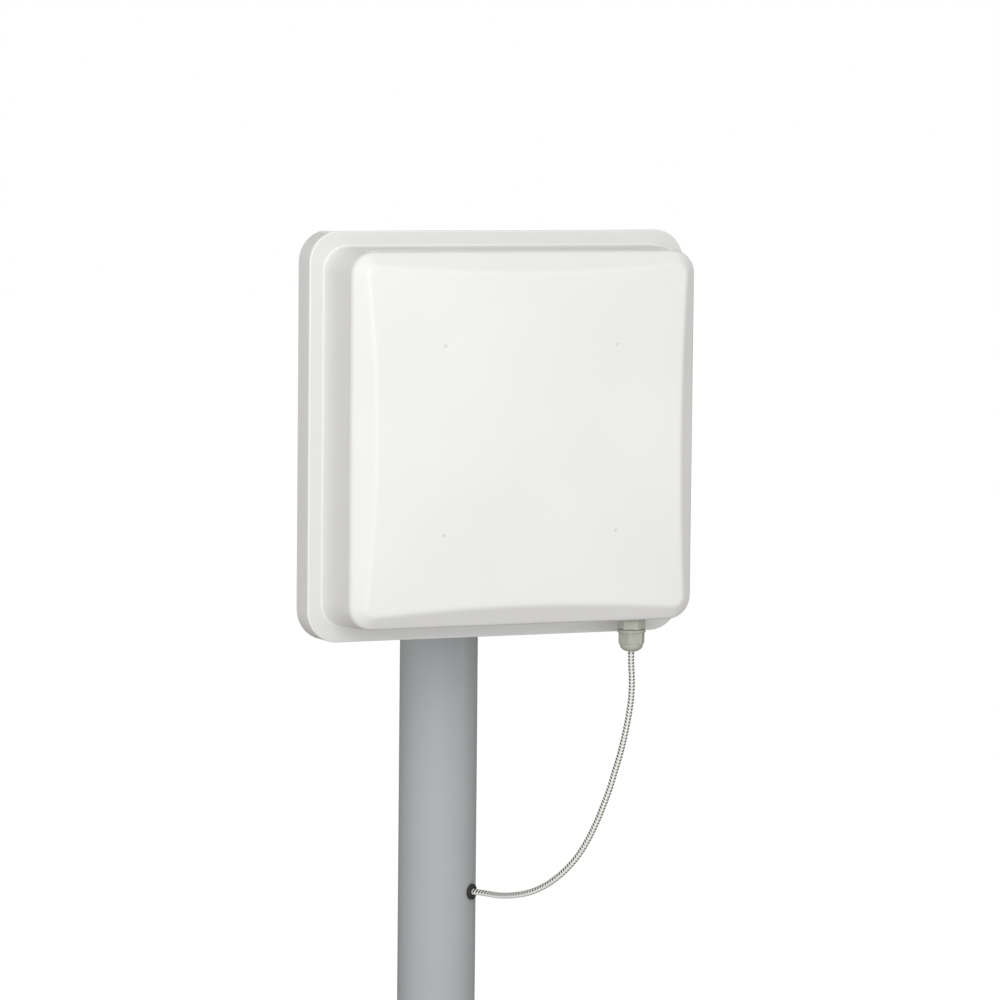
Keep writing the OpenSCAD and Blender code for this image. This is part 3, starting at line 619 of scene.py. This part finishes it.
def makeGland(values):
    low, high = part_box("gland_nut")
    centre = (low + high) / 2
    place = Matrix.Translation((centre.x, centre.y, 0))
    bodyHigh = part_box("gland_washer")[0].z
    bodyLow = bodyHigh - values["hexHeight"]
    bm = bmesh.new()
    levels = [(bodyLow, 0.98), (bodyLow + 0.0006, 1.0), (bodyHigh, 1.0)]
    hexBlock(bm, values["flats"], levels, values["hexRound"], values["hexTurn"])
    sleeveLow = low.z + values["sleeveReach"]
    sleeve = [(values["sleeveIn"], bodyLow), (values["sleeveOut"], bodyLow),
              (values["sleeveOut"], sleeveLow), (values["sleeveIn"], sleeveLow)]
    turned(bm, sleeve, 40, 0.0002, True)
    finished(bm, "glandBody", "head", "glandBody", "gland_grey", "gland_body", place=place)
    bm = bmesh.new()
    flat = values["flats"] / 2
    skirt = low.z + values["dome"]
    levels = [(skirt, 0.955), (skirt + 0.003, 1.0), (high.z - values["collar"] * 0.8, 1.0)]
    hexBlock(bm, values["flats"], levels, values["nutRound"], values["nutTurn"])
    collarIn, collarR, collarLow = values["nutIn"], flat + values["collarOut"], high.z - values["collar"]
    collar = [(collarIn, high.z), (collarR, high.z), (collarR, collarLow), (collarIn, collarLow)]
    turned(bm, collar, 48, values["collarRound"], True)
    domeR, domeTop, hole = flat - values["domeStep"], skirt - 0.001, values["hole"]
    dome = [(domeR, skirt + 0.004), (domeR, domeTop)]
    full = math.acos(hole / domeR)            # the dome runs in to the cable's hole
    tall = (domeTop - low.z - 0.0001) / math.sin(full)
    for k in range(1, 10):
        t = full * k / 9
        dome.append((domeR * math.cos(t), domeTop - tall * math.sin(t)))
    dome += [(hole - 0.0002, low.z + 0.0004), (hole - 0.0002, skirt + 0.004)]
    turned(bm, dome, 48, 0.0, True)
    finished(bm, "glandNut", "head", "gland", "gland_grey", "gland_nut", place=place)
    print("gland made")


makeGland(glandValues)


# post and cap

postValues = {"wall": 0.0032, "edge": 0.0006, "capEdge": 0.003, "plugWall": 0.0028, "slip": 0.0001}


def makePost(values):
    low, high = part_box("post_tube")
    radius, inner = high.x, high.x - values["wall"]
    bm = bmesh.new()
    wall = [(radius, low.z), (radius, high.z), (inner, high.z), (inner, low.z)]
    turned(bm, wall, 160, values["edge"], True)
    finished(bm, "roundPost", "mast", "post", "post_grey", "post_tube")
    capLow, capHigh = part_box("post_cap")
    bm = bmesh.new()
    edgeTop = high.z + values["capEdge"]
    rise = capHigh.z - edgeTop
    crown = [(radius * math.sin(t), edgeTop + rise * math.cos(t))
             for t in (math.pi / 2 * k / 14 for k in range(15))]
    seat = high.z + values["slip"]
    plug = inner - values["slip"]
    plugIn = plug - values["plugWall"]
    skirt = [(radius, seat), (plug, seat), (plug, capLow.z), (plugIn, capLow.z), (plugIn, seat), (0, seat)]
    turned(bm, crown + skirt, 96)
    finished(bm, "postCap", "mast", "cap", "cap_grey", "post_cap")
    print("post made")


makePost(postValues)


# plates, brackets and hardware keep the frame's own shapes, with softened edges

def softened(node, look, slot, width, angle=30.0):
    source = frame["nodes"][node]
    bm = bmesh.new()
    bm.from_mesh(source.data)
    bmesh.ops.remove_doubles(bm, verts=bm.verts, dist=1e-5)
    bmesh.ops.dissolve_limit(bm, angle_limit=math.radians(1.0), verts=bm.verts, edges=bm.edges)
    edges = [e for e in bm.edges if len(e.link_faces) == 2 and e.calc_face_angle(0) > math.radians(angle)]
    bmesh.ops.bevel(bm, geom=edges, offset=width, segments=2, profile=0.5, affect="EDGES",
                    clamp_overlap=True, material=-1)
    bmesh.ops.triangulate(bm, faces=[f for f in bm.faces if len(f.verts) > 4])
    piece = finished(bm, node + "_piece", source["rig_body"], look, slot, node, angle=50.0)
    even = piece.modifiers.new("evenNormals", "WEIGHTED_NORMAL")    # flat faces stay flat beside soft edges
    even.keep_sharp = True
    even.weight = 80
    return piece


softEdges = {
    "bracket": ("bracket_grey", 0.0006, ["head_bracket", "post_bracket", "clamp_jaw"]),
    "base": ("base_grey", 0.001, ["base_plate", "base_collar", "base_gussets"]),
    "post": ("post_grey", 0.0004, ["service_cover"]),
    "sheet": ("sheet_aluminium", 0.0004, ["back_plate"]),
    "steel": ("stainless", 0.0004, ["head_bolts", "clamp_bolts", "clamp_nuts", "lock_bolt", "lock_nut",
                                    "pivot_bolt", "pivot_nut"]),
    "rubber": ("seal_black", 0.0004, ["post_grommet"]),
    "brass": ("brass", 0.0004, ["earth_stud", "earth_nut"]),
    "chip": ("part_black", 0.0004, ["vent_plug"]),
}

for look, (slot, width, nodes) in softEdges.items():
    for node in nodes:
        softened(node, look, slot, width)
print("hardware softened")


# the other nodes stay as they are and get their materials

plainNodes = {
    "sheet": ["ground_plane", "patch_1", "patch_2", "patch_3", "patch_4"],
    "steel": ["cover_screws", "ground_screws", "board_screws", "clinch_nuts", "service_screws",
              "terminal_screws", "set_screws", "terminal_bracket"],
    "brass": ["ground_standoffs", "board_standoffs", "feed_pins", "rf_link"],
    "rubber": ["seal_gasket", "gland_seal"],
    "gland": ["gland_locknut", "gland_washer"],
    "braid": ["inner_lead"],
    "terminal": ["board_terminal", "terminal_block"],
    "board": ["feed_board", "reader_board"],
    "chip": ["board_parts"],
    "tin": ["shield_can"],
    "bush": ["patch_posts", "tilt_washers", "thrust_ring"],
}

for look, nodes in plainNodes.items():
    for node in nodes:
        for slot in frame["nodes"][node].material_slots:
            slot.material = looks[look]
print("frame nodes coloured")


# studio

studioValues = {"even": 0.416, "slope": 0.66, "least": 0.22, "warm": (1.0, 0.95, 0.88),
                "lightFrom": (-0.43, -0.855, 0.292),
                "keyPower": 9.0, "keySize": 1.0, "keyDistance": 2.0, "backFrom": (0.407, 0.914, 0.12),
                "backPower": 24.0, "backSize": 1.4, "backDistance": 2.4, "fillFrom": (0.8, -0.6, -0.1),
                "fillPower": 1.3, "fillSize": 0.5, "fillDistance": 2.0, "floor": (0.85, 0.85, 0.85),
                "floorGlow": 0.54, "room": 28.0}


def stageObject(bm, name, colour, glow):
    mesh = bpy.data.meshes.new(name)
    bm.to_mesh(mesh)
    bm.free()
    look = Look(name)
    look.shade(Base_Color=colour, Roughness=1.0, Emission_Color=(1.0, 1.0, 1.0), Emission_Strength=glow)
    look.feed(look.shader.inputs["Specular IOR Level"], 0.0)
    mesh.materials.append(look.material)
    stage = bpy.data.objects.new(name, mesh)
    scene.collection.objects.link(stage)
    stage.visible_diffuse = stage.visible_glossy = stage.visible_transmission = False
    stage.visible_shadow = False


def softBox(name, power, size, direction, distance):
    light = bpy.data.lights.new(name, "AREA")
    light.energy, light.size = power, size
    lamp = bpy.data.objects.new(name, light)
    scene.collection.objects.link(lamp)
    aim = Vector((headCentre.x, rimY, headCentre.z))
    outward = Vector(direction).normalized()
    lamp.matrix_world = along(aim + outward * distance, outward)
    lamp.visible_camera = False


def makeStudio(values):
    scene.view_settings.view_transform = "Standard"
    scene.world = bpy.data.worlds.new("tent")
    tent = Look("tent", scene.world, "Background")     # a light tent, brightest at the front left
    facing = tent.add("ShaderNodeTexCoord", output="Generated")
    towards = tent.add("ShaderNodeVectorMath", {"operation": "DOT_PRODUCT"},
                       {0: facing, 1: Vector(values["lightFrom"]).normalized()}, "Value")
    glow = (towards * values["slope"] + values["even"]).maths("MAXIMUM", values["least"])
    tint = tent.mix((towards * 1.6 + 0.2).limited(), values["warm"], (1.0, 1.0, 1.0))
    tent.shade(Strength=glow, Color=tint)
    bm = bmesh.new()
    bmesh.ops.create_circle(bm, cap_ends=True, segments=64, radius=values["room"])
    stageObject(bm, "paleFloor", values["floor"], values["floorGlow"])
    bm = bmesh.new()
    bmesh.ops.create_icosphere(bm, subdivisions=4, radius=values["room"] * 1.02)
    bmesh.ops.reverse_faces(bm, faces=bm.faces)
    stageObject(bm, "whiteRoom", (0.0, 0.0, 0.0), 1.0)
    softBox("key", values["keyPower"], values["keySize"], values["lightFrom"], values["keyDistance"])
    softBox("back", values["backPower"], values["backSize"], values["backFrom"], values["backDistance"])
    softBox("fill", values["fillPower"], values["fillSize"], values["fillFrom"], values["fillDistance"])


makeStudio(studioValues)
print("studio lit")
